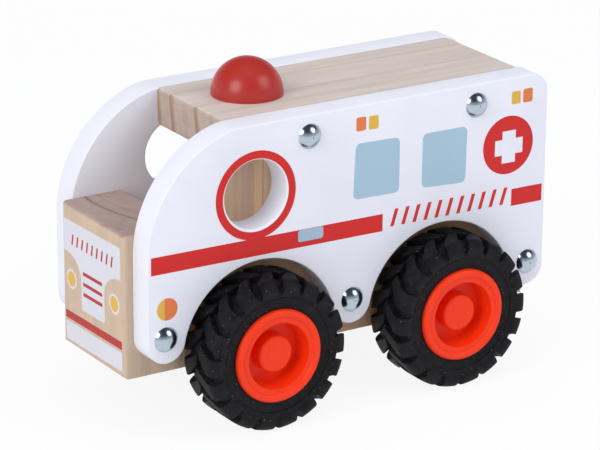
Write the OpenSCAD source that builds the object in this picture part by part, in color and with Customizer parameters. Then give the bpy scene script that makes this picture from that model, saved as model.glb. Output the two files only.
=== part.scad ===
// Toy ambulance: two painted side panels hold pine blocks between them, with a red half-ball
// beacon on the roof and two wheelsets whose steel axles turn in the chassis block.
// Millimetres; +X is the front, +Y the left side, +Z up, and the tyres stand on z = 0.

/* [Wheels] */

// Radius of a tyre over its lugs
tyre_radius = 31.5; // [29:0.5:36]
// Width of a wheel over its rim's faces
wheel_width = 24; // [23:0.5:28]
// Reach of the hub beyond the rim's inner face
hub_reach = 2.5; // [1:0.25:4]
// Lugs in each of the two rows of a tread
lug_count = 18; // [16:1:22]
// Height of the lugs above the casing
lug_height = 2.8; // [2:0.1:3.4]
// Share of the pitch that a lug fills at the shoulder
lug_share = 0.64; // [0.5:0.02:0.7]
// Distance along the tread by which a lug sweeps from shoulder to middle
lug_sweep = 7; // [5:0.5:8]
// Diameter of an axle
axle_diameter = 5; // [4:0.1:6]
// Length of an axle held in each hub
axle_grip = 18; // [15:0.5:20]
// Play between a hub and the chassis side
end_play = 0.5; // [0.3:0.1:0.8]

/* [Rims] */

// Radius of the rim's flanges
flange_radius = 19.3; // [18:0.1:21]
// Thickness of the flange on the rim's inner side
flange_thick = 1.6; // [1.2:0.1:2]
// Distance of the flanges behind the rim's faces
flange_set = 0.65; // [0.4:0.05:1]
// Round of the lip around the rim's outer face
lip_radius = 1.7; // [1:0.1:2]
// Drop of the ledge inside the lip
ledge_drop = 1; // [0.6:0.1:1.5]
// Wall of the barrel that carries the tyre
barrel_thick = 3.7; // [2.5:0.1:4.5]
// Depth of the dish around the boss
dish_depth = 9.6; // [7:0.2:11]
// Taper of the dish's wall towards its floor
dish_taper = 0.9; // [0.3:0.1:2]
// Thickness of the web behind the dish
web_thick = 4; // [2.5:0.5:6]
// Radius of the centre boss
boss_radius = 7.6; // [6:0.1:9]
// Depth of the boss face behind the rim's outer face
boss_sink = 3.3; // [2.5:0.1:5]
// Round of the boss's edge
boss_edge = 1.2; // [0.5:0.1:2]

/* [Tyre section] */

// Bulge of the sidewall beyond the bead
side_bulge = 1.2; // [0.6:0.1:1.6]
// Round of the casing's shoulder, as a share of the casing's height above the flange
casing_share = 0.36; // [0.3:0.02:0.45]
// Round of the lugs' shoulder, as a share of the tyre's height above the flange
tread_share = 0.31; // [0.25:0.01:0.35]
// Place at which the lugs leave the sidewall, as a share of the same height
foot_share = 0.61; // [0.45:0.01:0.64]
// Distance of the lugs behind the rim's faces
tread_set = 0.25; // [0.1:0.05:0.5]
// Depth to which the foot of a lug lies in the sidewall
foot_sink = 1; // [0.6:0.1:1.4]
// Place of the moulded ring on the sidewall, as a share of the way from flange to shoulder
ring_share = 0.76; // [0.5:0.02:0.85]
// Radius of that ring's bead
ring_radius = 0.45; // [0.3:0.05:0.6]
// Width of a lug at the middle of the tread
lug_narrow = 3.8; // [3:0.1:4.5]
// Sweep of a lug over its shoulder
lug_bend = 1.2; // [0.5:0.1:2]
// Distance of that bend from the start of the shoulder's round
bend_set = 0.8; // [0.4:0.1:1.5]
// Reach of a lug past the middle of the tread
lug_past = 0.3; // [0.1:0.1:1]

/* [Side panels] */

// Thickness of a side panel
panel_thick = 12; // [10:0.5:14]
// Height of a side panel from its lobes to its top
panel_height = 91; // [86:1:96]
// Width of the lobes beside and between the wheel arches
lobe_width = 16; // [14:0.5:19]
// Radius of a wheel arch beyond the tyre's
arch_gap = 3.5; // [2.5:0.25:4.5]
// Depth of the axles below the middles of the arches
axle_drop = 0.9; // [0:0.1:1.5]
// Distance of the rear axle behind the middle of its arch
rear_set = 1.6; // [0:0.1:2]
// Radius of the long sweep from the panel's front towards its top
screen_radius = 50; // [46:0.5:54]
// Radius of the brow that ends the sweep on the panel's top
brow_radius = 27; // [22:0.5:32]
// Angle at which the sweep meets the brow
screen_turn = 71.4; // [68:0.2:76]
// Radius of the rear top corner
rear_radius = 8; // [5:0.5:12]
// Radius of the round window
window_radius = 14.2; // [12:0.1:15]
// Distance of the window's centre behind the panel's front edge
window_back = 48.7; // [46:0.1:51]
// Distance of the window's centre below the panel's top
window_drop = 28.5; // [26:0.5:31]

/* [Blocks] */

// Distance between the side panels
inner_width = 50; // [46:0.5:58]
// Distance by which the nose stands ahead of the panels
nose_proud = 4; // [2:0.25:6]
// Depth of the nose block from front to back
nose_depth = 27; // [24:0.5:29]
// Height of the nose block
nose_height = 59.5; // [55:0.5:63]
// Radius of the nose block's front edges
nose_edge = 2; // [1:0.25:3]
// Height of the chassis block
chassis_height = 40; // [36:0.5:44]
// Distance by which the chassis hangs below the panels
chassis_hang = 8.5; // [6.5:0.25:10]
// Distance by which the chassis ends ahead of the panels' rear edge
chassis_inset = 2; // [0:0.5:3]
// Thickness of the roof block
roof_thick = 15.7; // [13.5:0.1:17]
// Distance of the roof's front behind the panels' front edge
roof_back = 40.2; // [38:0.2:43]
// Round of the roof block's front and rear edges
roof_edge = 1.5; // [0.5:0.1:2.5]
// Distance by which the roof ends ahead of the panels' rear edge
roof_inset = 7; // [3:0.5:10]
// Length of the cab floor between nose and bulkhead
cab_length = 45; // [43:0.5:48]
// Thickness of the bulkhead behind the cab
bulkhead_thick = 20; // [14:0.5:26]

/* [Beacon] */

// Radius of the beacon
beacon_radius = 14.6; // [12:0.1:17]
// Height of the beacon's widest circle above the roof
beacon_lift = 0.6; // [0.2:0.1:1.2]
// Distance of the beacon behind the roof's front edge
beacon_back = 26.8; // [20:0.2:32]
// Diameter of the dowel in the beacon
dowel_diameter = 6; // [4:0.5:8]
// Length of the dowel in the beacon and again in the roof
dowel_depth = 8; // [6:0.5:9]

/* [Pins] */

// Diameter of a pin's domed head
head_diameter = 10.4; // [8:0.1:11.5]
// Height of a pin's domed head
head_height = 3; // [2:0.1:4]
// Radius of the nib on a pin's head
nib_radius = 0.5; // [0.3:0.1:0.8]
// Height of the nib above the dome
nib_height = 0.3; // [0.1:0.1:0.5]
// Diameter of a pin's shank
shank_diameter = 4; // [3:0.1:4.6]
// Length of a shank beyond the panel it holds
shank_hold = 18; // [14:0.5:20]
// Distance of the end pins from the panel's ends
pin_inset = 8; // [7:0.1:9]
// Height of the lower pins above the panel's lobes
pin_rise = 10.2; // [9.5:0.1:13]
// Distance of the roof pins below the panel's top
roof_pin_drop = 8.8; // [7:0.1:9.5]
// Distance of the front roof pin behind the panel's front edge
roof_pin_front = 73.4; // [71:0.1:75]
// Distance of the rear roof pin ahead of the panel's rear edge
roof_pin_rear = 35.2; // [30:0.1:45]

/* [Fits] */

// Radial clearance of an axle turning in the chassis
run_gap = 0.08; // [0.04:0.01:0.1]
// Radial clearance of the pieces that are pushed together and stay
seat_gap = 0.04; // [0.02:0.01:0.06]
// Room left at the blind end of a pin or dowel hole
end_room = 0.5; // [0.3:0.1:0.8]

/* [Hidden] */

$fn = 96;
over = 1;

// Wheel stations and panel outline
arch_radius = tyre_radius + arch_gap;
wheelbase = 2 * arch_radius + lobe_width;
panel_length = 2 * wheelbase + lobe_width;
body_length = panel_length + nose_proud;
nose_front = body_length / 2;
panel_front = nose_front - nose_proud;
panel_rear = -body_length / 2;
panel_mid = (panel_front + panel_rear) / 2;
front_arch_x = panel_mid + wheelbase / 2;
rear_arch_x = panel_mid - wheelbase / 2;
front_axle_x = front_arch_x;
rear_axle_x = rear_arch_x - rear_set;
axle_z = tyre_radius;
panel_bottom = axle_z + axle_drop;
panel_top = panel_bottom + panel_height;
inner_half = inner_width / 2;
outer_half = inner_half + panel_thick;

// Round ends of the lobes, touching the arches, the panel's ends and its lowest line
end_reach = lobe_width + arch_radius;
end_sum = end_reach + arch_radius;
end_round = end_sum - sqrt(end_sum * end_sum - end_reach * end_reach + arch_radius * arch_radius);
end_far = arch_radius + end_round;
end_touch_x = arch_radius * (end_reach - end_round) / end_far;
end_touch_z = arch_radius * end_round / end_far;
mid_reach = wheelbase / 2;
mid_round = (mid_reach * mid_reach - arch_radius * arch_radius) / (2 * arch_radius);
mid_far = arch_radius + mid_round;
mid_touch_x = arch_radius * mid_reach / mid_far;
mid_touch_z = arch_radius * mid_round / mid_far;

// Swept front of the panels: centres of the long sweep and of the brow
sweep_less = screen_radius - brow_radius;
sweep_x = panel_front - screen_radius;
brow_x = sweep_x + sweep_less * cos(screen_turn);
brow_z = panel_top - brow_radius;
sweep_z = brow_z - sweep_less * sin(screen_turn);
window_x = panel_front - window_back;
window_z = panel_top - window_drop;

// Blocks
nose_back = nose_front - nose_depth;
chassis_bottom = panel_bottom - chassis_hang;
chassis_top = chassis_bottom + chassis_height;
chassis_rear = panel_rear + chassis_inset;
nose_top = chassis_bottom + nose_height;
roof_bottom = panel_top - roof_thick;
roof_front = panel_front - roof_back;
roof_rear = panel_rear + roof_inset;
bulkhead_front = nose_back - cab_length;
beacon_x = roof_front - beacon_back;

// Pins: side positions as [x, z]
pin_z = panel_bottom + pin_rise;
roof_pin_z = panel_top - roof_pin_drop;
roof_pin_a = panel_front - roof_pin_front;
roof_pin_b = panel_rear + roof_pin_rear;
nose_pin = [panel_front - pin_inset, pin_z];
mid_pin = [panel_mid, pin_z];
rear_pin = [panel_rear + pin_inset, pin_z];
front_roof_pin = [roof_pin_a, roof_pin_z];
rear_roof_pin = [roof_pin_b, roof_pin_z];
all_pins = [nose_pin, mid_pin, rear_pin, front_roof_pin, rear_roof_pin];
shank_radius = shank_diameter / 2;
head_radius = head_diameter / 2;
head_ball = (head_radius * head_radius + head_height * head_height) / (2 * head_height);

// Wheels, measured from a wheel's middle plane
half_wheel = wheel_width / 2;
wheel_y = inner_half + end_play + hub_reach + half_wheel;
hub_face = -half_wheel - hub_reach;
axle_radius = axle_diameter / 2;
axle_half = inner_half + end_play + axle_grip;
seat_half = half_wheel - flange_set - flange_thick;
barrel_radius = flange_radius - lip_radius;
barrel_inner = barrel_radius - barrel_thick;
dish_floor = half_wheel - dish_depth;
boss_top = half_wheel - boss_sink;
lip_foot = half_wheel - lip_radius;
tyre_bore = barrel_radius + seat_gap;
tyre_height = tyre_radius - flange_radius;
casing_height = tyre_height - lug_height;
casing_radius = flange_radius + casing_height;
casing_half = seat_half + side_bulge;
casing_round = casing_share * casing_height;
casing_flat = casing_half - casing_round;
casing_mid = casing_radius - casing_round;
ring_x = flange_radius + ring_share * (casing_mid - flange_radius);
ring_y = seat_half + ring_share * side_bulge;
tread_half = half_wheel - tread_set;
tread_round = tread_share * tyre_height;
tread_flat = tread_half - tread_round;
tread_mid = tyre_radius - tread_round;
side_foot = flange_radius + foot_share * tyre_height;
pitch = 2 * PI * tyre_radius / lug_count;
pitch_angle = 360 / lug_count;
lug_wide = pitch * lug_share;
lug_root = casing_mid - casing_round;
lug_turn = tread_flat - bend_set;

// Sub-part to draw

// Slice of a disc between two angles
module slice(radius, low, high) {
    far = 2 * radius;
    half = (low + high) / 2;
    intersection() {
        circle(r = radius);
        polygon([
            [0, 0],
            [far * cos(low), far * sin(low)],
            [far * cos(half), far * sin(half)],
            [far * cos(high), far * sin(high)]
        ]);
    }
}

// Outline of a side panel in its own plane
module panel_outline() {
    end_z = panel_bottom + end_round;
    mid_z = panel_bottom + mid_round;
    difference() {
        union() {
            polygon([
                [panel_front, end_z],
                [panel_front, sweep_z],
                [sweep_x, sweep_z],
                [brow_x, brow_z],
                [brow_x, panel_top],
                [panel_rear + rear_radius, panel_top],
                [panel_rear, panel_top - rear_radius],
                [panel_rear, end_z],
                [panel_rear + end_round, end_z],
                [rear_arch_x - end_touch_x, panel_bottom + end_touch_z],
                [rear_arch_x + mid_touch_x, panel_bottom + mid_touch_z],
                [panel_mid, mid_z],
                [front_arch_x - mid_touch_x, panel_bottom + mid_touch_z],
                [front_arch_x + end_touch_x, panel_bottom + end_touch_z],
                [panel_front - end_round, end_z]
            ]);
            translate([panel_front - end_round, end_z]) circle(r = end_round);
            translate([panel_rear + end_round, end_z]) circle(r = end_round);
            translate([panel_mid, mid_z]) circle(r = mid_round);
            translate([panel_rear + rear_radius, panel_top - rear_radius]) circle(r = rear_radius);
            translate([sweep_x, sweep_z]) slice(screen_radius, 0, screen_turn);
            translate([brow_x, brow_z]) slice(brow_radius, screen_turn, 90);
        }
        translate([front_arch_x, panel_bottom]) circle(r = arch_radius);
        translate([rear_arch_x, panel_bottom]) circle(r = arch_radius);
        translate([window_x, window_z]) circle(r = window_radius);
        for (p = all_pins) {
            translate(p) circle(r = shank_radius + seat_gap);
        }
    }
}

// Side panel whose inner face looks at the middle
module side_panel(side) {
    translate([0, side > 0 ? outer_half : -inner_half, 0])
        rotate([90, 0, 0])
            linear_extrude(height = panel_thick) panel_outline();
}

// Blind holes for one pin on both sides of a block
module pin_holes(p) {
    for (side = [-1, 1]) {
        translate([p[0], side * inner_half, p[1]])
            rotate([side * 90, 0, 0])
                translate([0, 0, -over])
                    cylinder(r = shank_radius + seat_gap, h = shank_hold + end_room + over);
    }
}

// Block between the panels, from one x to another and one z to another
module block(x0, x1, z0, z1) {
    translate([x0, -inner_half, z0]) cube([x1 - x0, inner_width, z1 - z0]);
}

// Nose block with rounded front edges
module nose_body() {
    intersection() {
        translate([0, 0, chassis_bottom]) linear_extrude(height = nose_height) union() {
            translate([nose_back, -inner_half]) square([nose_depth - nose_edge, inner_width]);
            translate([nose_back, nose_edge - inner_half])
                square([nose_depth, inner_width - 2 * nose_edge]);
            translate([nose_front - nose_edge, nose_edge - inner_half]) circle(r = nose_edge);
            translate([nose_front - nose_edge, inner_half - nose_edge]) circle(r = nose_edge);
        }
        translate([0, inner_half, 0]) rotate([90, 0, 0]) linear_extrude(height = inner_width) union() {
            translate([nose_back, chassis_bottom]) square([nose_depth - nose_edge, nose_height]);
            translate([nose_back, chassis_bottom + nose_edge])
                square([nose_depth, nose_height - 2 * nose_edge]);
            translate([nose_front - nose_edge, nose_top - nose_edge]) circle(r = nose_edge);
            translate([nose_front - nose_edge, chassis_bottom + nose_edge]) circle(r = nose_edge);
        }
    }
}

// Roof block with rounded front and rear edges
module roof_body() {
    roof_length = roof_front - roof_rear;
    translate([0, inner_half, 0]) rotate([90, 0, 0]) linear_extrude(height = inner_width) union() {
        translate([roof_rear + roof_edge, roof_bottom]) square([roof_length - 2 * roof_edge, roof_thick]);
        translate([roof_rear, roof_bottom + roof_edge]) square([roof_length, roof_thick - 2 * roof_edge]);
        for (x = [roof_rear + roof_edge, roof_front - roof_edge]) {
            for (z = [roof_bottom + roof_edge, panel_top - roof_edge]) {
                translate([x, z]) circle(r = roof_edge);
            }
        }
    }
}

// Bore across the chassis for an axle
module axle_bore(x) {
    translate([x, 0, axle_z])
        rotate([90, 0, 0])
            cylinder(r = axle_radius + run_gap, h = inner_width + 2 * over, center = true);
}

// Steel axle across the body
module axle(x) {
    translate([x, 0, axle_z])
        rotate([90, 0, 0])
            cylinder(r = axle_radius, h = 2 * axle_half, center = true);
}

// Half section of a rim: radius to the right, outward along the axle upward
module rim_section() {
    difference() {
        union() {
            // Hub and boss
            translate([0, hub_face]) square([boss_radius, boss_top - boss_edge - hub_face]);
            translate([0, dish_floor]) square([boss_radius - boss_edge, boss_top - dish_floor]);
            translate([boss_radius - boss_edge, boss_top - boss_edge]) circle(r = boss_edge);
            // Dish floor and barrel
            translate([0, dish_floor - web_thick]) square([barrel_radius, web_thick]);
            translate([barrel_inner, -seat_half]) square([barrel_thick, 2 * seat_half]);
            polygon([
                [barrel_inner - dish_taper, dish_floor],
                [barrel_radius, dish_floor],
                [barrel_radius, half_wheel - ledge_drop],
                [barrel_inner, half_wheel - ledge_drop]
            ]);
            // Flanges
            translate([barrel_inner, -seat_half - flange_thick])
                square([flange_radius - barrel_inner, flange_thick]);
            translate([barrel_inner, seat_half])
                square([flange_radius - barrel_inner, lip_foot - seat_half]);
            translate([barrel_radius, lip_foot]) slice(lip_radius, 0, 180);
        }
        translate([0, hub_face - over]) square([axle_radius + seat_gap, axle_grip + over]);
    }
}

// Rim on one side of an axle, its dish looking outward
module rim(x, side) {
    translate([x, side * wheel_y, axle_z]) rotate([-side * 90, 0, 0]) rotate_extrude() rim_section();
}

// Half section of a tyre's smooth casing
module casing_section() {
    translate([tyre_bore, -casing_flat]) square([casing_radius - tyre_bore, 2 * casing_flat]);
    for (s = [-1, 1]) {
        translate([casing_mid, s * casing_flat]) circle(r = casing_round);
        polygon([
            [tyre_bore, 0],
            [tyre_bore, s * seat_half],
            [flange_radius, s * seat_half],
            [casing_mid, s * casing_half],
            [casing_mid, 0]
        ]);
        translate([ring_x, s * ring_y]) circle(r = ring_radius);
    }
}

// Half section of the shape that the lugs are trimmed to
module tread_section() {
    translate([lug_root, -tread_flat]) square([tyre_radius - lug_root, 2 * tread_flat]);
    for (s = [-1, 1]) {
        translate([tread_mid, s * tread_flat]) circle(r = tread_round);
        polygon([
            [lug_root, 0],
            [side_foot, s * (casing_half - foot_sink)],
            [tread_mid, s * tread_half],
            [tread_mid, 0]
        ]);
    }
}

// Outline of a lug seen from outside the tread: along the axle, then along the tread
function lug_points(s) = [
    [-s * (tread_half + over), -lug_wide / 2],
    [-s * lug_turn, lug_bend - lug_wide / 2],
    [s * lug_past, lug_sweep - lug_narrow / 2],
    [s * lug_past, lug_sweep + lug_narrow / 2],
    [-s * lug_turn, lug_bend + lug_wide / 2],
    [-s * (tread_half + over), lug_wide / 2]
];

// Both rows of lugs, the second row half a pitch on
module lugs() {
    for (i = [0 : lug_count - 1]) {
        for (s = [-1, 1]) {
            rotate([0, 0, (i + (1 - s) / 4) * pitch_angle])
                translate([lug_root - over, 0, 0])
                    rotate([0, 90, 0])
                        linear_extrude(height = tyre_radius - lug_root + 2 * over) polygon(lug_points(s));
        }
    }
}

// Lugged tyre about its own axis
module tyre_body() {
    rotate_extrude() casing_section();
    intersection() {
        lugs();
        rotate_extrude() tread_section();
    }
}

// Tyre on one side of an axle, one lug pointing straight down
module tyre(x, side) {
    translate([x, side * wheel_y, axle_z]) rotate([90, 0, 0]) rotate([0, 0, -90]) tyre_body();
}

// Domed pin whose head stands on a panel's outer face
module pin(p, side) {
    translate([p[0], side * outer_half, p[1]]) rotate([-side * 90, 0, 0]) {
        rotate_extrude() intersection() {
            translate([0, head_height - head_ball]) circle(r = head_ball);
            square([head_radius, head_height]);
        }
        cylinder(r = nib_radius, h = head_height + nib_height);
        translate([0, 0, -panel_thick - shank_hold])
            cylinder(r = shank_radius, h = panel_thick + shank_hold + over);
    }
}

module left_side_panel() { color("white") side_panel(1); }
module right_side_panel() { color("white") side_panel(-1); }

module nose_block() {
    color("burlywood") difference() {
        nose_body();
        pin_holes(nose_pin);
    }
}

module chassis_block() {
    color("burlywood") difference() {
        block(chassis_rear, nose_back, chassis_bottom, chassis_top);
        axle_bore(front_axle_x);
        axle_bore(rear_axle_x);
        pin_holes(mid_pin);
        pin_holes(rear_pin);
    }
}

module bulkhead_block() {
    color("tan") block(bulkhead_front - bulkhead_thick, bulkhead_front, chassis_top, roof_bottom);
}

module roof_block() {
    color("burlywood") difference() {
        roof_body();
        pin_holes(front_roof_pin);
        pin_holes(rear_roof_pin);
        translate([beacon_x, 0, panel_top - dowel_depth])
            cylinder(r = dowel_diameter / 2 + seat_gap, h = dowel_depth + over);
    }
}

module beacon_dome() {
    color("firebrick") translate([beacon_x, 0, panel_top]) difference() {
        rotate_extrude() intersection() {
            translate([0, beacon_lift]) circle(r = beacon_radius);
            square([beacon_radius, beacon_radius + beacon_lift]);
        }
        translate([0, 0, -over])
            cylinder(r = dowel_diameter / 2 + seat_gap, h = dowel_depth + end_room + over);
    }
}

module beacon_dowel() {
    color("wheat") translate([beacon_x, 0, panel_top - dowel_depth])
        cylinder(r = dowel_diameter / 2, h = 2 * dowel_depth);
}

module front_axle() { color("silver") axle(front_axle_x); }
module rear_axle() { color("silver") axle(rear_axle_x); }

module front_left_rim() { color("orangered") rim(front_axle_x, 1); }
module front_right_rim() { color("orangered") rim(front_axle_x, -1); }
module rear_left_rim() { color("orangered") rim(rear_axle_x, 1); }
module rear_right_rim() { color("orangered") rim(rear_axle_x, -1); }

module front_left_tyre() { color("dimgray") tyre(front_axle_x, 1); }
module front_right_tyre() { color("dimgray") tyre(front_axle_x, -1); }
module rear_left_tyre() { color("dimgray") tyre(rear_axle_x, 1); }
module rear_right_tyre() { color("dimgray") tyre(rear_axle_x, -1); }

module left_nose_pin() { color("silver") pin(nose_pin, 1); }
module left_chassis_mid_pin() { color("silver") pin(mid_pin, 1); }
module left_chassis_rear_pin() { color("silver") pin(rear_pin, 1); }
module left_roof_front_pin() { color("silver") pin(front_roof_pin, 1); }
module left_roof_rear_pin() { color("silver") pin(rear_roof_pin, 1); }
module right_nose_pin() { color("silver") pin(nose_pin, -1); }
module right_chassis_mid_pin() { color("silver") pin(mid_pin, -1); }
module right_chassis_rear_pin() { color("silver") pin(rear_pin, -1); }
module right_roof_front_pin() { color("silver") pin(front_roof_pin, -1); }
module right_roof_rear_pin() { color("silver") pin(rear_roof_pin, -1); }

left_side_panel();
right_side_panel();
nose_block();
chassis_block();
bulkhead_block();
roof_block();
beacon_dome();
beacon_dowel();
front_axle();
rear_axle();
front_left_rim();
front_right_rim();
rear_left_rim();
rear_right_rim();
front_left_tyre();
front_right_tyre();
rear_left_tyre();
rear_right_tyre();
left_nose_pin();
left_chassis_mid_pin();
left_chassis_rear_pin();
left_roof_front_pin();
left_roof_rear_pin();
right_nose_pin();
right_chassis_mid_pin();
right_chassis_rear_pin();
right_roof_front_pin();
right_roof_rear_pin();
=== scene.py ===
"""Toy ambulance: painted boards, pine blocks, red beacon, zinc pins and lugged wheels on the packed model."""

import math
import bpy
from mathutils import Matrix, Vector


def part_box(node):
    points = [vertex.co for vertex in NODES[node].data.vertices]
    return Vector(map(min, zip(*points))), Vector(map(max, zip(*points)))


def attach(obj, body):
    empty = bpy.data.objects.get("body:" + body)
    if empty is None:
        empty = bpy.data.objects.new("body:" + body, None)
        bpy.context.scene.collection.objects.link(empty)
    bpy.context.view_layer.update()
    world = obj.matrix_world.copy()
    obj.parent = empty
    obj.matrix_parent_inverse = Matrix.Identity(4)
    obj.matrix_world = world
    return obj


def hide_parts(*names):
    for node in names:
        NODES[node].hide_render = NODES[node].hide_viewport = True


bl_info = {
    "name": "Toy ambulance",
    "version": (1, 0, 0),
    "blender": (4, 5, 0),
    "location": "View3D > Sidebar > Toy ambulance",
    "description": "Boards, blocks, prints, wheels and studio of a wooden toy ambulance",
    "category": "Object",
}

import bmesh
import bpy
from bpy.props import FloatProperty, FloatVectorProperty, PointerProperty
from mathutils import Matrix, Vector

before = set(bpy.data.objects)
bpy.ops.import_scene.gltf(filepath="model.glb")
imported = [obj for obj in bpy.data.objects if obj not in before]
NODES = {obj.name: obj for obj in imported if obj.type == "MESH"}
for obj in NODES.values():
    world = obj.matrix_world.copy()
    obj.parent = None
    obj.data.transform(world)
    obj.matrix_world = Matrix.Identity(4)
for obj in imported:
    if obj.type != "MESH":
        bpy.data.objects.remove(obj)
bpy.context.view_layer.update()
MM = 0.001

# Faces of the boards and of the nose, taken from the frame in millimetres
PANEL_LOW, PANEL_HIGH = (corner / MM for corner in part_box("left_side_panel"))
NOSE_LOW, NOSE_HIGH = (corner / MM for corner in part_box("nose_block"))
PANEL_FRONT, PANEL_REAR = PANEL_HIGH.x, PANEL_LOW.x
PANEL_TOP, PANEL_BOTTOM = PANEL_HIGH.z, PANEL_LOW.z
PANEL_INNER, PANEL_OUTER = PANEL_LOW.y, PANEL_HIGH.y
PANEL_MID = (PANEL_FRONT + PANEL_REAR) / 2
SIDES = (("left", 1), ("right", -1))

# Studio: the floor and the lamps in metres, and the camera's target in millimetres
FLOOR_RADIUS = 12.0
WHITE_SHARE = 0.9
LAMP_DISTANCE = 3.0
LAMP_TARGET = (0, 0, 0.07)
CAMERA_TARGET = (-0.2886, 0, 63.21)


def linear(code):
    """Linear colour of an sRGB hex value."""
    parts = [int(code[i : i + 2], 16) / 255 for i in (0, 2, 4)]
    return [p / 12.92 if p <= 0.04045 else ((p + 0.055) / 1.055) ** 2.4 for p in parts]


def length(name, description, millimetres):
    """Property for a length, with its default given in millimetres."""
    return FloatProperty(
        name=name,
        description=description,
        default=millimetres * MM,
        min=0,
        subtype="DISTANCE",
        unit="LENGTH",
    )


def turning(name, description, degrees):
    """Property for an angle, with its default given in degrees."""
    return FloatProperty(
        name=name, description=description, default=math.radians(degrees), subtype="ANGLE", unit="ROTATION"
    )


def amount(name, description, value, unit="NONE"):
    """Property for a strength, a power or another plain number."""
    return FloatProperty(name=name, description=description, default=value, min=0, unit=unit)


def colour(name, description, code):
    """Property for a colour, with its default given as sRGB hex."""
    return FloatVectorProperty(
        name=name, description=description, default=linear(code), min=0, max=1, size=3, subtype="COLOR"
    )


class BoardSizes(bpy.types.PropertyGroup):
    """Sizes of the boards and blocks."""

    board_ease: length("Board ease", "Round of the side panels' edges", 0.6)
    block_ease: length("Block ease", "Round of the pine blocks' edges", 0.6)
    lug_ease: length("Lug ease", "Round of the tyre lugs' edges", 0.5)
    lobe_width: length("Lobe width", "Width of the lobes beside and between the wheel arches", 16)
    screen_radius: length("Screen radius", "Radius of the long sweep at the panels' front", 50)
    brow_radius: length("Brow radius", "Radius of the brow that ends the sweep on the panels' top", 27)
    screen_turn: turning("Screen turn", "Angle at which the sweep meets the brow", 71.4)
    rear_radius: length("Rear radius", "Round of the panels' rear top corner", 8)
    window_radius: length("Window radius", "Radius of the round window", 14.2)
    window_back: length("Window set-back", "Distance of the window's centre behind the panel's front", 48.7)
    window_drop: length("Window drop", "Distance of the window's centre below the panel's top", 28.5)


class PrintSizes(bpy.types.PropertyGroup):
    """Sizes of the prints on the panels and the nose."""

    ink: length("Ink", "Thickness of a print", 0.04)
    tilt: turning("Tilt", "Turn of the side print on the panel", 0.573)
    nose_tilt: turning("Nose tilt", "Turn of the print on the nose", 1.0313)
    stripe_low: length("Stripe bottom", "Height of the stripe's lower edge above the panel's lobes", 36.7)
    stripe_high: length("Stripe top", "Height of the stripe's upper edge above the panel's lobes", 44.0)
    ring_inner: length("Ring inner radius", "Inner radius of the ring round the window", 15.0)
    ring_outer: length("Ring outer radius", "Outer radius of the ring round the window", 18.2)
    ring_drop: length("Ring drop", "Distance of the ring's centre below the window's", 0.3)
    badge_radius: length("Badge radius", "Radius of the red disc with the plus", 12.4)
    lamp_radius: length("Headlamp radius", "Radius of a printed headlamp", 4.2)
    bar_height: length("Bar height", "Height of a grille bar", 1.5)


class Finishes(bpy.types.PropertyGroup):
    """Colours of the finishes."""

    panel: colour("Panel", "White paint of the side panels", "E9E9EE")
    nose: colour("Nose", "Pine of the nose, along the grain", "C8B096")
    nose_end: colour("Nose end grain", "Pine of the nose, across the grain", "AA9387")
    roof: colour("Roof", "Pine of the roof, along the grain", "CFC1B4")
    roof_end: colour("Roof end grain", "Pine of the roof, across the grain", "BDA899")
    # Painted light: the bulkhead's pine is lighter than the wood itself, standing in for light that falls on
    # it through the windscreen in the cab
    bulkhead: colour("Bulkhead", "Pine of the bulkhead, outside its heart", "ECCAA0")
    chassis: colour("Chassis", "Pine of the chassis", "C8A27D")
    beech: colour("Beech", "Wood of the dowel", "C9A77F")
    late_wood: colour("Late wood", "Brown rings of the pine", "9B745E")
    dark_ring: colour("Dark ring", "Dark rings of the nose", "6B544F")
    # Painted shadow: this greyish colour darkens the bulkhead where y is under 3.5 mm, standing in for shade
    # in the cab
    heart: colour("Heart", "Greyish heart wood of the bulkhead", "AE9A96")
    beacon: colour("Beacon", "Red gloss paint of the beacon", "B02A20")
    rim: colour("Rim", "Orange plastic of the rims", "F5370A")
    tyre: colour("Tyre", "Black rubber of the tyres", "09080B")
    bloom: colour("Bloom", "Grey bloom on the rubber", "1D1C21")
    dust: colour("Dust", "Grains of dust on the rubber", "5A585E")
    zinc: colour("Zinc", "Zinc plate of the pins", "B8C7D2")
    steel: colour("Steel", "Drawn steel of the axles", "B4B5B8")
    red: colour("Red ink", "Red of the stripe, ring and badge", "CF221E")
    nose_red: colour("Nose red", "Red of the print on the nose", "B4201E")
    nose_white: colour("Nose white", "White of the print on the nose", "D8D7DC")
    blue: colour("Blue ink", "Blue of the side windows", "A4C1CF")
    grey: colour("Grey ink", "Grey-blue of the door handle", "A5BACB")
    yellow: colour("Yellow ink", "Yellow of the lamps", "DDB046")
    orange: colour("Orange ink", "Orange of the lamps", "DF7B42")


class Studio(bpy.types.PropertyGroup):
    """Camera and light."""

    azimuth: turning("Azimuth", "Camera's turn about the toy", 147.8165)
    elevation: turning("Elevation", "Camera's height angle", 19.4915)
    roll: turning("Roll", "Camera's turn about its own axis", 0.3668)
    distance: length("Distance", "Camera's distance from its target", 1346.13)
    lens: amount("Lens", "Camera's focal length in millimetres", 198.13)
    fill: amount("Fill", "Strength of the light from all round", 0.6)
    front: amount("Front", "Power of the front softbox", 36.0, "POWER")
    side: amount("Side", "Power of the side softbox", 21.0, "POWER")
    top: amount("Top", "Power of the overhead softbox", 24.0, "POWER")


GROUPS = {
    "ambulance_boards": BoardSizes,
    "ambulance_prints": PrintSizes,
    "ambulance_finishes": Finishes,
    "ambulance_studio": Studio,
}


# Meshes


def arc(centre, radius, start, end, step=3.0):
    """Points on an arc, in degrees, both ends included."""
    count = max(2, math.ceil(abs(end - start) / step))
    angles = [math.radians(start + (end - start) * i / count) for i in range(count + 1)]
    return [(centre[0] + radius * math.cos(a), centre[1] + radius * math.sin(a)) for a in angles]


def disc(centre, radius, count=96):
    """Closed circle of points."""
    return arc(centre, radius, 0, 360, 360 / count)[:-1]


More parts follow.
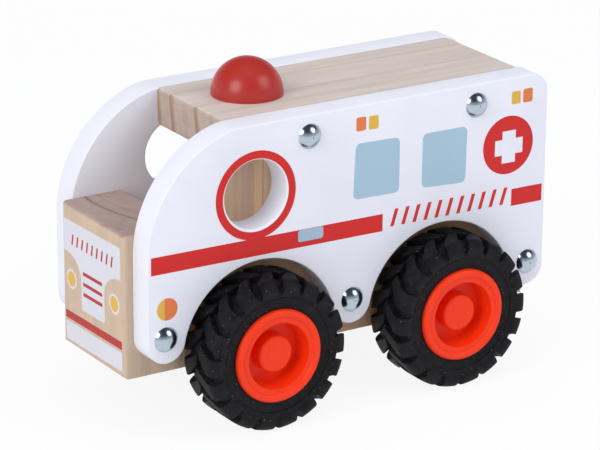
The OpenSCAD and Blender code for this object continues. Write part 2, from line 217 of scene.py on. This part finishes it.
def rounded(corners, radius, step=15.0):
    """Closed outline with its corners rounded."""
    points = []
    for i, here in enumerate(corners):
        here = Vector(here)
        to_last = (Vector(corners[i - 1]) - here).normalized()
        to_next = (Vector(corners[(i + 1) % len(corners)]) - here).normalized()
        half = to_last.angle(to_next) / 2
        middle = here + (to_last + to_next).normalized() * radius / math.sin(half)
        first = here + to_last * radius / math.tan(half) - middle
        last = here + to_next * radius / math.tan(half) - middle
        start = math.degrees(math.atan2(first.y, first.x))
        sweep = (math.degrees(math.atan2(last.y, last.x)) - start + 180) % 360 - 180
        points += arc(middle, radius, start, start + sweep, step)
    return points


def bar(front, rear, bottom, top):
    """Corners of an upright rectangle."""
    return [(front, bottom), (front, top), (rear, top), (rear, bottom)]


def dash(foot, width, lean, bottom, top):
    """Corners of a leaning stroke."""
    return [(foot, bottom), (foot + width, bottom), (foot + width + lean, top), (foot + lean, top)]


def turned(points, pivot, angle):
    """Points turned about a pivot."""
    spin = Matrix.Rotation(angle, 2)
    return [tuple(Vector(pivot) + spin @ (Vector(p) - Vector(pivot))) for p in points]


def inset(points, distance):
    """Closed outline moved inward along its normals; it runs counter-clockwise, and a hole clockwise."""
    moved = []
    for i, here in enumerate(points):
        before = (Vector(here) - Vector(points[i - 1])).normalized()
        after = (Vector(points[(i + 1) % len(points)]) - Vector(here)).normalized()
        along = (before + after).normalized()
        reach = distance / max(along.dot(after), 0.3)
        moved.append((here[0] - along.y * reach, here[1] + along.x * reach))
    return moved


def ordered(points, anticlockwise):
    """Closed outline put into one turning sense."""
    area = sum(a[0] * b[1] - b[0] * a[1] for a, b in zip(points, points[1:] + points[:1]))
    return points if (area > 0) == anticlockwise else points[::-1]


def add_plate(bm, loops, place, low, high, ease=0.0, steps=4):
    """Plate between two heights, from an outline and its holes, with eased edges.

    The function place gives the position of a point from its two places on the plate and its height.
    """
    rows = [(0.0, low), (0.0, high)]
    if ease > 0:
        turns = [math.pi / 2 * i / steps for i in range(steps + 1)]
        rows = [(ease * (1 - math.sin(t)), low + ease * (1 - math.cos(t))) for t in turns]
        rows += [(ease * (1 - math.cos(t)), high - ease * (1 - math.sin(t))) for t in turns]
    caps = ([], [])
    for number, loop in enumerate(loops):
        loop = ordered(loop, number == 0)
        rings = []
        for shift, height in rows:
            shifted = inset(loop, shift) if shift else loop
            rings.append([bm.verts.new(place(u, v, height)) for u, v in shifted])
        count = len(loop)
        for lower, upper in zip(rings, rings[1:]):
            for i in range(count):
                j = (i + 1) % count
                bm.faces.new((lower[i], lower[j], upper[j], upper[i]))
        for cap, ring in zip(caps, (rings[0], rings[-1])):
            cap += [bm.edges.get((ring[i], ring[(i + 1) % count])) for i in range(count)]
    for cap in caps:
        bmesh.ops.triangle_fill(bm, use_beauty=True, use_dissolve=False, edges=cap)


def finish_mesh(name, bm, material, body, smooth=40.0):
    """Object from a bmesh, with its material and body."""
    bmesh.ops.recalc_face_normals(bm, faces=bm.faces)
    mesh = bpy.data.meshes.new(name)
    bm.to_mesh(mesh)
    bm.free()
    mesh.shade_smooth()
    mesh.set_sharp_from_angle(angle=math.radians(smooth))
    mesh.materials.append(material)
    obj = bpy.data.objects.new(name, mesh)
    bpy.context.scene.collection.objects.link(obj)
    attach(obj, body)
    return obj


def print_plates(name, shapes, place, material, level=0, layers=1):
    """Print of one ink in layers, from a level up: each shape is an outline with its holes."""
    ink = bpy.context.scene.ambulance_prints.ink / MM
    bm = bmesh.new()
    for loops in shapes:
        add_plate(bm, loops, place, level * ink, (level + layers) * ink)
    return finish_mesh(name, bm, material, "body")


def dress(nodes, material):
    """Give CAD nodes their material."""
    for name in nodes:
        NODES[name].data.materials.clear()
        NODES[name].data.materials.append(material)


# Materials


def add(tree, kind, values=None, **options):
    """Add a node: options are its settings, values its sockets, each a number, colour or socket to link."""
    node = tree.nodes.new(kind)
    for key, value in options.items():
        setattr(node, key, value)
    for key, value in (values or {}).items():
        if isinstance(value, bpy.types.NodeSocket):
            tree.links.new(value, node.inputs[key])
        else:
            node.inputs[key].default_value = value
    return node


def new_material(name):
    """Material with a Principled shader, and the object's own coordinates in metres."""
    material = bpy.data.materials.new(name)
    material.use_nodes = True
    tree = material.node_tree
    tree.nodes.clear()
    shader = add(tree, "ShaderNodeBsdfPrincipled")
    add(tree, "ShaderNodeOutputMaterial", {"Surface": shader.outputs["BSDF"]})
    spot = add(tree, "ShaderNodeTexCoord").outputs["Object"]
    return material, tree, shader, spot


def rgba(value, gain=1.0):
    """Colour with alpha, made lighter or darker by a gain."""
    return (*(min(1.0, c * gain) for c in value), 1.0)


def per_mm(size):
    """Texture scale for a feature of a size in millimetres."""
    return 1 / (size * MM)


def noise(tree, spot, size, detail):
    """Soft random pattern with patches of a size in millimetres."""
    values = {"Vector": spot, "Scale": per_mm(size), "Detail": detail}
    return add(tree, "ShaderNodeTexNoise", values).outputs["Fac"]


def remap(tree, value, low, high, to_low, to_high):
    """Value stretched from one range to another, and kept inside it."""
    values = {"Value": value, "From Min": low, "From Max": high, "To Min": to_low, "To Max": to_high}
    return add(tree, "ShaderNodeMapRange", values).outputs["Result"]


def times(tree, first, second):
    """Product of two values."""
    return add(tree, "ShaderNodeMath", {0: first, 1: second}, operation="MULTIPLY").outputs[0]


def blend(tree, share, first, second, kind="MIX"):
    """Colour between two others, by a share."""
    values = {0: share, 6: first, 7: second}
    return add(tree, "ShaderNodeMix", values, data_type="RGBA", blend_type=kind).outputs[2]


def two_tone(tree, value, low, high, first, second):
    """Colour that goes from one to another as a value rises between two limits."""
    node = add(tree, "ShaderNodeValToRGB", {"Fac": value})
    for stop, place, tint in zip(node.color_ramp.elements, (low, high), (first, second)):
        stop.position = place
        stop.color = tint
    return node.outputs["Color"]


def bumped(tree, height, strength, depth):
    """Bump from a height pattern, with its depth in millimetres."""
    return add(tree, "ShaderNodeBump", {"Height": height, "Strength": strength, "Distance": depth * MM})


def wire(tree, shader, tint, roughness, normal):
    """Feed the shader its colour, roughness and normal."""
    for name, socket in (("Base Color", tint), ("Roughness", roughness), ("Normal", normal)):
        tree.links.new(socket, shader.inputs[name])


def painted_board(name, tint, roughness, peel, sheen=0.5):
    """Satin paint sprayed on board: an even colour with faint clouds, and a fine orange peel in the gloss."""
    material, tree, shader, spot = new_material(name)
    cloud = noise(tree, spot, 35, 3.0)
    # The real peel is about 0.6 mm; it is drawn coarser so that it shows
    skin = noise(tree, spot, peel, 2.0)
    tone = two_tone(tree, cloud, 0.3, 0.7, rgba(tint, 0.965), rgba(tint, 1.02))
    gloss = remap(tree, cloud, 0.0, 1.0, roughness - 0.05, roughness + 0.06)
    shader.inputs["Specular IOR Level"].default_value = sheen
    wire(tree, shader, tone, gloss, bumped(tree, skin, 0.12, 0.05).outputs["Normal"])
    return material


def growth_rings(tree, spot, grain, period, rings):
    """Strength of the late wood in rings about the grain that repeat after a period in millimetres.

    Each ring is its place in the period, its strength, and its width in millimetres.
    """
    # The wave texture turns this often in a unit of its scale
    ring_turns = 20 / (2 * math.pi)
    wander, wander_length = 2.0, 40.0
    wave = add(
        tree,
        "ShaderNodeTexWave",
        {
            "Vector": spot,
            "Scale": per_mm(period) / ring_turns,
            "Distortion": 2 * math.pi * wander / period,
            "Detail": 2.0,
            "Detail Scale": period * ring_turns / wander_length,
            "Detail Roughness": 0.45,
        },
        wave_type="RINGS",
        rings_direction=grain,
        wave_profile="SAW",
    )
    band = add(tree, "ShaderNodeValToRGB", {"Fac": wave.outputs["Fac"]})
    stops = band.color_ramp.elements
    stops[1].color = rgba([0.0] * 3)
    for place, depth, width in rings:
        # Sharp on the side of the heart, then fading
        for reach, share in ((-0.3, 0.0), (0.0, 1.0), (0.5 * width, 0.75), (width, 0.0)):
            stops.new(place + reach / period).color = rgba([share * depth] * 3)
    return band.outputs["Color"]


def pine(name, grain, pith, period, rings, face, end, late, along=0.22):
    """Planed pine under matt lacquer: fibres along the grain, and uneven rings, clearest on the end grain.

    The heart of the trunk is in millimetres. Faces along the grain show a share of the rings.
    """
    material, tree, shader, spot = new_material(name)
    # Fibres and waviness are drawn out along the grain
    stretch = Vector((1, 1, 1))
    stretch["XYZ".index(grain)] = 0.06
    heart = [-c * MM * s for c, s in zip(pith, stretch)]
    values = {"Vector": spot, "Location": heart, "Scale": stretch}
    drawn = add(tree, "ShaderNodeMapping", values).outputs["Vector"]
    normal = add(tree, "ShaderNodeTexCoord").outputs["Normal"]
    facing = add(tree, "ShaderNodeSeparateXYZ", {"Vector": normal}).outputs[grain]
    across = add(tree, "ShaderNodeMath", {0: facing}, operation="ABSOLUTE").outputs[0]
    ends = remap(tree, across, 0.45, 0.85, 0.0, 1.0)
    tone = blend(tree, ends, rgba(face), rgba(end))
    # A ring fades in places, and all rings show less along the grain
    patchy = remap(tree, noise(tree, drawn, 16, 2.0), 0.35, 0.65, 0.6, 1.0)
    shown = remap(tree, ends, 0.0, 1.0, along, 1.0)
    dark = times(tree, growth_rings(tree, drawn, grain, period, rings), times(tree, patchy, shown))
    tone = blend(tree, dark, tone, rgba(late))
    # Fibres are about 0.1 mm across; they are drawn at 0.7 mm so that they show
    fibre = noise(tree, drawn, 0.7, 3.0)
    # Broader streaks, where the wood took more or less lacquer
    broad = noise(tree, drawn, 5, 2.0)
    streak = times(tree, remap(tree, fibre, 0.3, 0.7, 0.95, 1.05), remap(tree, broad, 0.3, 0.7, 0.92, 1.08))
    tone = blend(tree, 1.0, tone, streak, "MULTIPLY")
    gloss = remap(tree, fibre, 0.0, 1.0, 0.5, 0.68)
    wire(tree, shader, tone, gloss, bumped(tree, fibre, 0.25, 0.08).outputs["Normal"])
    return material


def speckled(
    name, tint, fleck, size, roughness, spread, metallic=0.0, relief=0.1, sheen=0.5, edge=0.0, lint=None
):
    """Surface whose colour and gloss vary in small patches: moulded plastic, rubber, plate or drawn metal."""
    material, tree, shader, spot = new_material(name)
    grit = noise(tree, spot, size, 4.0)
    tone = two_tone(tree, grit, 0.42, 0.8, rgba(tint), rgba(fleck))
    gloss = remap(tree, grit, 0.0, 1.0, roughness - spread, roughness + spread)
    bump = bumped(tree, grit, relief, 0.05)
    if edge:
        # Moulded edges are a little round
        eased = add(tree, "ShaderNodeBevel", {"Radius": edge}).outputs["Normal"]
        tree.links.new(eased, bump.inputs["Normal"])
    if lint:
        # Grains of dust are under 0.2 mm; they are drawn at 0.7 mm so that they show
        settled = remap(tree, noise(tree, spot, 0.7, 0.0), 0.78, 0.83, 0.0, 1.0)
        tone = blend(tree, settled, tone, rgba(lint))
    shader.inputs["Metallic"].default_value = metallic
    shader.inputs["Specular IOR Level"].default_value = sheen
    wire(tree, shader, tone, gloss, bump.outputs["Normal"])
    return material


def ink(name, tint):
    """Screen-printed ink: an even film, a little glossier than the paint under it, with a fine mesh grain."""
    return painted_board(name, tint, 0.4, 0.9, 0.3)


# Pieces


def panel_outline(sizes):
    """Outline of a side panel as points of x and z: front lobe, sweep, top, rear, and the arches."""
    lobe, screen, brow, rear = (
        value / MM for value in (sizes.lobe_width, sizes.screen_radius, sizes.brow_radius, sizes.rear_radius)
    )
    wheelbase = (PANEL_FRONT - PANEL_REAR - lobe) / 2
    front_arch, rear_arch = PANEL_MID + wheelbase / 2, PANEL_MID - wheelbase / 2
    arch = (wheelbase - lobe) / 2
    reach = lobe + arch
    total = reach + arch
    end = total - math.sqrt(total * total - reach * reach + arch * arch)
    mid = (wheelbase * wheelbase / 4 - arch * arch) / (2 * arch)
    lean_end = math.degrees(math.asin(end / (arch + end)))
    lean_mid = math.degrees(math.asin(mid / (arch + mid)))
    turn = math.degrees(sizes.screen_turn)
    sweep = Vector((PANEL_FRONT - screen, PANEL_TOP - brow - (screen - brow) * math.sin(sizes.screen_turn)))
    brow_x = sweep.x + (screen - brow) * math.cos(sizes.screen_turn)
    points = arc((PANEL_FRONT - end, PANEL_BOTTOM + end), end, 180 + lean_end, 360, 6)
    points += arc(sweep, screen, 0, turn)
    points += arc((brow_x, PANEL_TOP - brow), brow, turn, 90)[1:]
    points += arc((PANEL_REAR + rear, PANEL_TOP - rear), rear, 90, 180, 6)
    points += arc((PANEL_REAR + end, PANEL_BOTTOM + end), end, 180, 360 - lean_end, 6)
    points += arc((rear_arch, PANEL_BOTTOM), arch, 180 - lean_end, lean_mid)[1:]
    points += arc((PANEL_MID, PANEL_BOTTOM + mid), mid, 180 + lean_mid, 360 - lean_mid, 6)[1:]
    points += arc((front_arch, PANEL_BOTTOM), arch, 180 - lean_mid, lean_end)[1:-1]
    return points


def window_centre(sizes):
    """Centre of the round window as x and z."""
    return PANEL_FRONT - sizes.window_back / MM, PANEL_TOP - sizes.window_drop / MM


def on_side(sign, face, base=0.0):
    """Position of a point given by x, z above a base line, and its height above a plane facing one side."""
    return lambda u, v, w: Vector((u, sign * (face + w), base + v)) * MM


def on_nose(u, v, w):
    """Position of a point given by y, z above the nose's underside, and its height above the front face."""
    return Vector((NOSE_HIGH.x + w, u, NOSE_LOW.z + v)) * MM


class AMBULANCE_OT_panels(bpy.types.Operator):
    """Make the two painted side panels with eased edges"""

    bl_idname = "ambulance.panels"
    bl_label = "Side panels"

    def execute(self, context):
        sizes, finishes = context.scene.ambulance_boards, context.scene.ambulance_finishes
        paint = painted_board("white_satin_paint_sprayed_on_board", finishes.panel, 0.42, 1.4)
        loops = [panel_outline(sizes), disc(window_centre(sizes), sizes.window_radius / MM)]
        for side, sign in SIDES:
            bm = bmesh.new()
            thick = PANEL_OUTER - PANEL_INNER
            add_plate(bm, loops, on_side(sign, PANEL_INNER), 0, thick, sizes.board_ease / MM)
            board = finish_mesh(f"{side}_board", bm, paint, "body", 30)
            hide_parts(f"{side}_side_panel")
        return {"FINISHED"}


class AMBULANCE_OT_blocks(bpy.types.Operator):
    """Give the pine blocks their grain, and ease their edges"""

    bl_idname = "ambulance.blocks"
    bl_label = "Pine blocks"

    def execute(self, context):
        sizes, finishes = context.scene.ambulance_boards, context.scene.ambulance_finishes
        # Rings of a block: place in their period, strength and width in millimetres
        straight = (
            (0.2, 1.0, 3.2),
            (0.365, 0.9, 3.6),
            (0.52, 0.15, 4.0),
            (0.669, 1.0, 3.4),
            (0.87, 0.3, 3.0),
        )
        curved = ((0.174, 0.3, 1.8), (0.29, 1.0, 1.6), (0.54, 0.35, 1.8), (0.75, 0.3, 3.0))
        # The bulkhead's rings: a faint ring and a thin dark line are grain, and the wide greyish ring is
        # painted shadow over the part where y is under 3.5 mm
        grain_and_painted_shadow_rings = ((0.06, 0.4, 6.0), (0.183, 1.0, 1.0), (0.3, 1.0, 39.0))
        brown, dark, heart, cut = finishes.late_wood, finishes.dark_ring, finishes.heart, finishes.roof_end
        # Each block: its grain, the heart of its trunk, the period of its rings, the rings, and its colours
        blocks = {
            "nose_block": ("Z", (22, -18, 0), 50, curved, finishes.nose, finishes.nose_end, dark),
            "chassis_block": ("X", (0, 20, -60), 30, straight, finishes.chassis, cut, brown),
            # The bulkhead's lightened pine is painted light, and its greyish heart ring is painted shadow
            "bulkhead_block": ("Z", (24, 81.5, 0), 60, grain_and_painted_shadow_rings, finishes.bulkhead, cut, heart, 0.9),
            "roof_block": ("X", (0, -213, 81), 60, straight, finishes.roof, cut, brown),
        }
        for name, wood in blocks.items():
            dress([name], pine(f"planed_lacquered_pine_{name}", *wood))
        for name in ("chassis_block", "bulkhead_block"):
            weld = NODES[name].modifiers.new("weld", "WELD")
            weld.merge_threshold = 0.001 * MM
            ease = NODES[name].modifiers.new("ease", "BEVEL")
            ease.width = sizes.block_ease
            ease.segments = 3
            ease.limit_method = "ANGLE"
            ease.angle_limit = math.radians(40)
        return {"FINISHED"}


class AMBULANCE_OT_beacon(bpy.types.Operator):
    """Paint the beacon and finish its dowel"""

    bl_idname = "ambulance.beacon"
    bl_label = "Beacon"

    def execute(self, context):
        finishes = context.scene.ambulance_finishes
        even = ((0.2, 0.3, 0.8), (0.7, 0.3, 0.8))
        wood = finishes.beech
        beech = pine("turned_beech_dowel", "Z", (0, 40, 0), 4, even, wood, wood, finishes.late_wood)
        paint = painted_board("red_gloss_paint_on_turned_wood", finishes.beacon, 0.3, 2.2)
        dress(["beacon_dome"], paint)
        dress(["beacon_dowel"], beech)
        return {"FINISHED"}


class AMBULANCE_OT_wheels(bpy.types.Operator):
    """Finish the rims, tyres and axles"""

    bl_idname = "ambulance.wheels"
    bl_label = "Wheels"

    def execute(self, context):
        sizes, finishes = context.scene.ambulance_boards, context.scene.ambulance_finishes
        # Moulded plastic: an even strong colour with a soft sheen
        shade = [c * 0.96 for c in finishes.rim]
        plastic = speckled(
            "moulded_orange_plastic", finishes.rim, shade, 2.5, 0.42, 0.05, relief=0.05, sheen=0.27
        )
        # Moulded rubber: near black, matt, with a grey bloom and grains of dust
        rubber = speckled(
            "moulded_black_rubber",
            finishes.tyre,
            finishes.bloom,
            3.0,
            0.66,
            0.1,
            relief=0.5,
            sheen=0.24,
            edge=sizes.lug_ease,
            lint=finishes.dust,
        )
        # Drawn steel: a metal with fine streaks in its gloss
        shade = [c * 0.8 for c in finishes.steel]
        rod = speckled("drawn_steel_rod", finishes.steel, shade, 0.8, 0.3, 0.08, metallic=1.0)
        wheels = [f"{end}_{side}" for end in ("front", "rear") for side, _ in SIDES]
        dress([f"{wheel}_rim" for wheel in wheels], plastic)
        dress([f"{wheel}_tyre" for wheel in wheels], rubber)
        dress(["front_axle", "rear_axle"], rod)
        return {"FINISHED"}


class AMBULANCE_OT_pins(bpy.types.Operator):
    """Plate the domed pins"""

    bl_idname = "ambulance.pins"
    bl_label = "Pins"

    def execute(self, context):
        finishes = context.scene.ambulance_finishes
        # Bright zinc plate: a mirror that is slightly soft
        shade = [c * 0.9 for c in finishes.zinc]
        plate = speckled("bright_zinc_plate", finishes.zinc, shade, 1.5, 0.2, 0.05, metallic=1.0, relief=0.03)
        dress([name for name in NODES if name.endswith("_pin")], plate)
        return {"FINISHED"}


class AMBULANCE_OT_side_prints(bpy.types.Operator):
    """Print the stripe, ring, windows, lamps, handle and badge on both panels"""

    bl_idname = "ambulance.side_prints"
    bl_label = "Side prints"

    def execute(self, context):
        scene = context.scene
        sizes, finishes = scene.ambulance_prints, scene.ambulance_finishes
        red = ink("red_screen_ink", finishes.red)
        blue = ink("blue_screen_ink", finishes.blue)
        grey = ink("grey_screen_ink", finishes.grey)
        yellow = ink("yellow_screen_ink", finishes.yellow)
        orange = ink("orange_screen_ink", finishes.orange)
        white = ink("white_screen_ink", finishes.panel)

        def tilted(points):
            """Points turned with the whole print about its middle."""
            return turned(points, (0, 30.8), sizes.tilt)

        # All places are x along the toy and z above the panel's lobes, in millimetres
        low, high = sizes.stripe_low / MM, sizes.stripe_high / MM
        stripe_ends = ((90.55, -15.95), (-79.05, -94.35))
        stripe = [[tilted(bar(front, rear, low, high))] for front, rear in stripe_ends]
        first_dash, dash_pitch, dash_count = -19.6, 5.35, 11
        feet = [first_dash - dash_pitch * i for i in range(dash_count)]
        dashes = [[tilted(dash(foot, -1.7, -2.2, 38.0, 45.2))] for foot in feet]
        window_x, window_z = window_centre(scene.ambulance_boards)
        ring_centre = (window_x, window_z - sizes.ring_drop / MM - PANEL_BOTTOM)
        ring = [[disc(ring_centre, sizes.ring_outer / MM), disc(ring_centre, sizes.ring_inner / MM)]]
        front_window = [(-2.87, 75.46), (-23.74, 74.88), (-23.71, 51.76), (-1.77, 52.28)]
        rear_window = [(-34.79, 74.29), (-56.43, 74.08), (-55.86, 50.35), (-34.57, 51.53)]
        windows = [[rounded(corners, 2.4)] for corners in (front_window, rear_window)]
        badge_x, badge_z = -76.85, 62.6
        badge = [[disc((badge_x, badge_z), sizes.badge_radius / MM)]]
        arm, long = 3.3, 6.85
        cross = [(arm, arm), (arm, long), (-arm, long), (-arm, arm), (-long, arm), (-long, -arm)]
        cross += [(-x, -z) for x, z in cross]
        plus = [[tilted([(badge_x + x, badge_z + z) for x, z in cross])]]
        amber_lamps = [bar(-2.95, -7.55, 80.5, 86.2), bar(-83.75, -88.45, 79.5, 85.3)]
        lemon_lamps = [bar(-8.85, -13.45, 80.3, 85.9), bar(-78.05, -82.45, 79.6, 85.0)]
        amber = [[rounded(corners, 0.8)] for corners in amber_lamps]
        lemon = [[rounded(corners, 0.8)] for corners in lemon_lamps]
        handle = [[tilted(rounded(bar(23.95, 12.25, 38.9, 43.9), 1.0))]]
        # The indicator is a disc in two colours, cut upright
        lamp_centre, lamp_radius, front_part = (83.4, 22.7), 4.6, 75
        lemon.append([arc(lamp_centre, lamp_radius, -front_part, front_part, 5)])
        amber.append([arc(lamp_centre, lamp_radius, front_part, 360 - front_part, 5)])
        for side, sign in SIDES:
            place = on_side(sign, PANEL_OUTER, PANEL_BOTTOM)
            print_plates(f"{side}_stripe", stripe, place, red)
            print_plates(f"{side}_dashes", dashes, place, red)
            print_plates(f"{side}_window_ring", ring, place, red, layers=2)
            print_plates(f"{side}_door_handle", handle, place, grey, 1)
            print_plates(f"{side}_printed_windows", windows, place, blue)
            print_plates(f"{side}_badge_disc", badge, place, red)
            print_plates(f"{side}_badge_plus", plus, place, white, 1)
            print_plates(f"{side}_orange_lamps", amber, place, orange)
            print_plates(f"{side}_yellow_lamps", lemon, place, yellow)
        return {"FINISHED"}


class AMBULANCE_OT_nose_print(bpy.types.Operator):
    """Print the face on the nose: white field, bars, headlamps and bands"""

    bl_idname = "ambulance.nose_print"
    bl_label = "Nose print"

    def execute(self, context):
        sizes, finishes = context.scene.ambulance_prints, context.scene.ambulance_finishes
        red = ink("red_nose_ink", finishes.nose_red)
        white = ink("white_nose_ink", finishes.nose_white)
        yellow = ink("yellow_nose_ink", finishes.yellow)

        def tilted(points):
            """Points turned with the whole print about its middle."""
            return turned(points, (0, 31.5), sizes.nose_tilt)

        # All places are y across the toy and z above the nose's underside, in millimetres
        half, column, corner = 22.9, 9.4, 1.0
        field_top, field_low, column_top, column_low = 53.7, 40.4, 31.0, 18.5
        curve = [
            (half - (half - column) * math.sin(t), column_top + (field_low - column_top) * math.cos(t))
            for t in [math.pi / 2 * i / 12 for i in range(13)]
        ]
        column_end = [(column, column_low + corner), (column - corner, column_low)]
        left_half = [(half, field_top)] + curve + column_end
        field = left_half[::-1] + [(-y, z) for y, z in left_half]
        lower = rounded(bar(half, -half, 2.6, 10.5), 0.8)
        band = bar(half, -half, 11.7, 15.0)
        bar_end, thick = 7.8, sizes.bar_height / MM
        heights = (34.3, 29.9, 25.6)
        bars = [rounded(bar(bar_end, -bar_end, z - thick / 2, z + thick / 2), 0.3) for z in heights]
        first_dash, dash_pitch, dash_count = -16.9, 4.0, 9
        dashes = [dash(first_dash + dash_pitch * i, 1.1, 1.0, 43.9, 48.4) for i in range(dash_count)]
        lamps = [tilted([(y, 29.2)])[0] for y in (-17.4, 17.4)]
        radius, lamp_rim = sizes.lamp_radius / MM, 1.0
        print_plates("nose_white_field", [[tilted(field)], [tilted(lower)]], on_nose, white)
        print_plates("nose_red_band", [[tilted(band)]], on_nose, red)
        print_plates("nose_red_bars", [[tilted(b)] for b in bars + dashes], on_nose, red, 1)
        print_plates("nose_lamp_rims", [[disc(c, radius, 48)] for c in lamps], on_nose, white)
        print_plates("nose_lamps", [[disc(c, radius - lamp_rim, 48)] for c in lamps], on_nose, yellow, 1)
        return {"FINISHED"}


class AMBULANCE_OT_stage(bpy.types.Operator):
    """Lay the floor, set the lamps and the camera"""

    bl_idname = "ambulance.stage"
    bl_label = "Stage"

    def execute(self, context):
        scene, studio = context.scene, context.scene.ambulance_studio
        scene.view_settings.view_transform = "Standard"
        self.lay_floor()
        self.light(scene, studio)
        self.set_camera(scene, studio)
        return {"FINISHED"}

    def lay_floor(self):
        """Pale floor that is white to the eye and keeps the toy's shadow."""
        bm = bmesh.new()
        bmesh.ops.create_circle(bm, cap_ends=True, segments=64, radius=FLOOR_RADIUS)
        mesh = bpy.data.meshes.new("floor")
        bm.to_mesh(mesh)
        bm.free()
        material = bpy.data.materials.new("white_studio_floor")
        material.use_nodes = True
        tree = material.node_tree
        tree.nodes.clear()
        rays = add(tree, "ShaderNodeLightPath").outputs
        seen = rays["Is Camera Ray"]
        for kind in ("Is Glossy Ray", "Is Transmission Ray"):
            seen = add(tree, "ShaderNodeMath", {0: seen, 1: rays[kind]}, operation="MAXIMUM").outputs[0]
        # What is seen of the floor is mostly plain white, and the rest carries the toy's shadow
        share = times(tree, seen, WHITE_SHARE)
        card = add(tree, "ShaderNodeBsdfDiffuse", {"Color": (0.86, 0.86, 0.87, 1.0)}).outputs["BSDF"]
        glow = add(tree, "ShaderNodeEmission", {"Color": (1.0, 1.0, 1.0, 1.0), "Strength": 1.0})
        mix = add(tree, "ShaderNodeMixShader", {0: share, 1: card, 2: glow.outputs["Emission"]})
        add(tree, "ShaderNodeOutputMaterial", {"Surface": mix.outputs[0]})
        mesh.materials.append(material)
        floor = bpy.data.objects.new("floor", mesh)
        bpy.context.scene.collection.objects.link(floor)

    def light(self, scene, studio):
        """Light from all round, and three round softboxes."""
        world = bpy.data.worlds.new("studio")
        world.use_nodes = True
        tree = world.node_tree
        tree.nodes.clear()
        # The room is dim overhead, which only polished things show
        shiny = add(tree, "ShaderNodeLightPath").outputs["Is Glossy Ray"]
        upward = add(tree, "ShaderNodeTexCoord").outputs["Generated"]
        height = add(tree, "ShaderNodeSeparateXYZ", {"Vector": upward}).outputs["Z"]
        dim = remap(tree, height, 0.15, 0.5, 1.0, 0.1)
        share = add(tree, "ShaderNodeMix", {0: shiny, 2: 1.0, 3: dim}).outputs[0]
        strength = times(tree, share, studio.fill)
        sky = add(tree, "ShaderNodeBackground", {"Color": (0.93, 0.95, 1.04, 1.0), "Strength": strength})
        add(tree, "ShaderNodeOutputWorld", {"Surface": sky.outputs["Background"]})
        scene.world = world
        neutral, cool = (1.0, 1.0, 1.0), (0.94, 0.96, 1.06)
        # Each softbox: direction from the toy, width in metres, power, tint, and whether polish mirrors it
        boxes = (
            ("front_softbox", (0.83, 0.24, 0.50), 1.8, studio.front, neutral, True),
            ("side_softbox", (-0.50, 0.63, 0.59), 1.8, studio.side, cool, True),
            ("top_softbox", (0.05, 0.1, 1.0), 2.5, studio.top, cool, False),
        )
        for name, direction, size, power, tint, mirrored in boxes:
            lamp = bpy.data.lights.new(name, "AREA")
            lamp.shape = "DISK"
            lamp.size = size
            lamp.energy = power
            lamp.color = tint
            obj = bpy.data.objects.new(name, lamp)
            towards = Vector(direction).normalized()
            obj.location = Vector(LAMP_TARGET) + towards * LAMP_DISTANCE
            obj.rotation_euler = towards.to_track_quat("Z", "Y").to_euler()
            obj.visible_glossy = mirrored
            scene.collection.objects.link(obj)

    def set_camera(self, scene, studio):
        """Camera at the photograph's angle."""
        a, e, r = studio.azimuth, studio.elevation, studio.roll
        back = Vector((math.sin(a) * math.cos(e), -math.cos(a) * math.cos(e), math.sin(e)))
        right = (-back).cross(Vector((0, 0, 1))).normalized()
        up = back.cross(right)
        x_axis = right * math.cos(r) + up * math.sin(r)
        y_axis = up * math.cos(r) - right * math.sin(r)
        camera = bpy.data.cameras.new("photo_camera")
        camera.sensor_fit = "HORIZONTAL"
        camera.sensor_width = 36.0
        camera.lens = studio.lens
        camera.clip_end = 100
        obj = bpy.data.objects.new("photo_camera", camera)
        pose = Matrix((x_axis, y_axis, back)).transposed().to_4x4()
        pose.translation = Vector(CAMERA_TARGET) * MM + back * studio.distance
        obj.matrix_world = pose
        scene.collection.objects.link(obj)
        scene.camera = obj


class AMBULANCE_PT_panel(bpy.types.Panel):
    """Sizes, colours and steps of the toy ambulance"""

    bl_idname = "AMBULANCE_PT_panel"
    bl_label = "Toy ambulance"
    bl_space_type = "VIEW_3D"
    bl_region_type = "UI"
    bl_category = "Toy ambulance"

    def draw(self, context):
        for operator in OPERATORS:
            self.layout.operator(operator.bl_idname)
        for attribute, group in GROUPS.items():
            box = self.layout.box()
            box.label(text=group.__doc__)
            for key in group.__annotations__:
                box.prop(getattr(context.scene, attribute), key)


OPERATORS = (
    AMBULANCE_OT_panels,
    AMBULANCE_OT_blocks,
    AMBULANCE_OT_beacon,
    AMBULANCE_OT_wheels,
    AMBULANCE_OT_pins,
    AMBULANCE_OT_side_prints,
    AMBULANCE_OT_nose_print,
    AMBULANCE_OT_stage,
)
CLASSES = (*GROUPS.values(), *OPERATORS, AMBULANCE_PT_panel)


def register():
    """Register the classes, and hang the property groups on the scene."""
    for cls in CLASSES:
        bpy.utils.register_class(cls)
    for attribute, group in GROUPS.items():
        setattr(bpy.types.Scene, attribute, PointerProperty(type=group))


def unregister():
    """Undo the registration."""
    for attribute in GROUPS:
        delattr(bpy.types.Scene, attribute)
    for cls in reversed(CLASSES):
        bpy.utils.unregister_class(cls)


def main():
    """Build the toy and its stage."""
    register()
    bpy.ops.ambulance.panels()
    bpy.ops.ambulance.blocks()
    bpy.ops.ambulance.beacon()
    bpy.ops.ambulance.wheels()
    bpy.ops.ambulance.pins()
    bpy.ops.ambulance.side_prints()
    bpy.ops.ambulance.nose_print()
    bpy.ops.ambulance.stage()


if __name__ == "__main__":
    main()
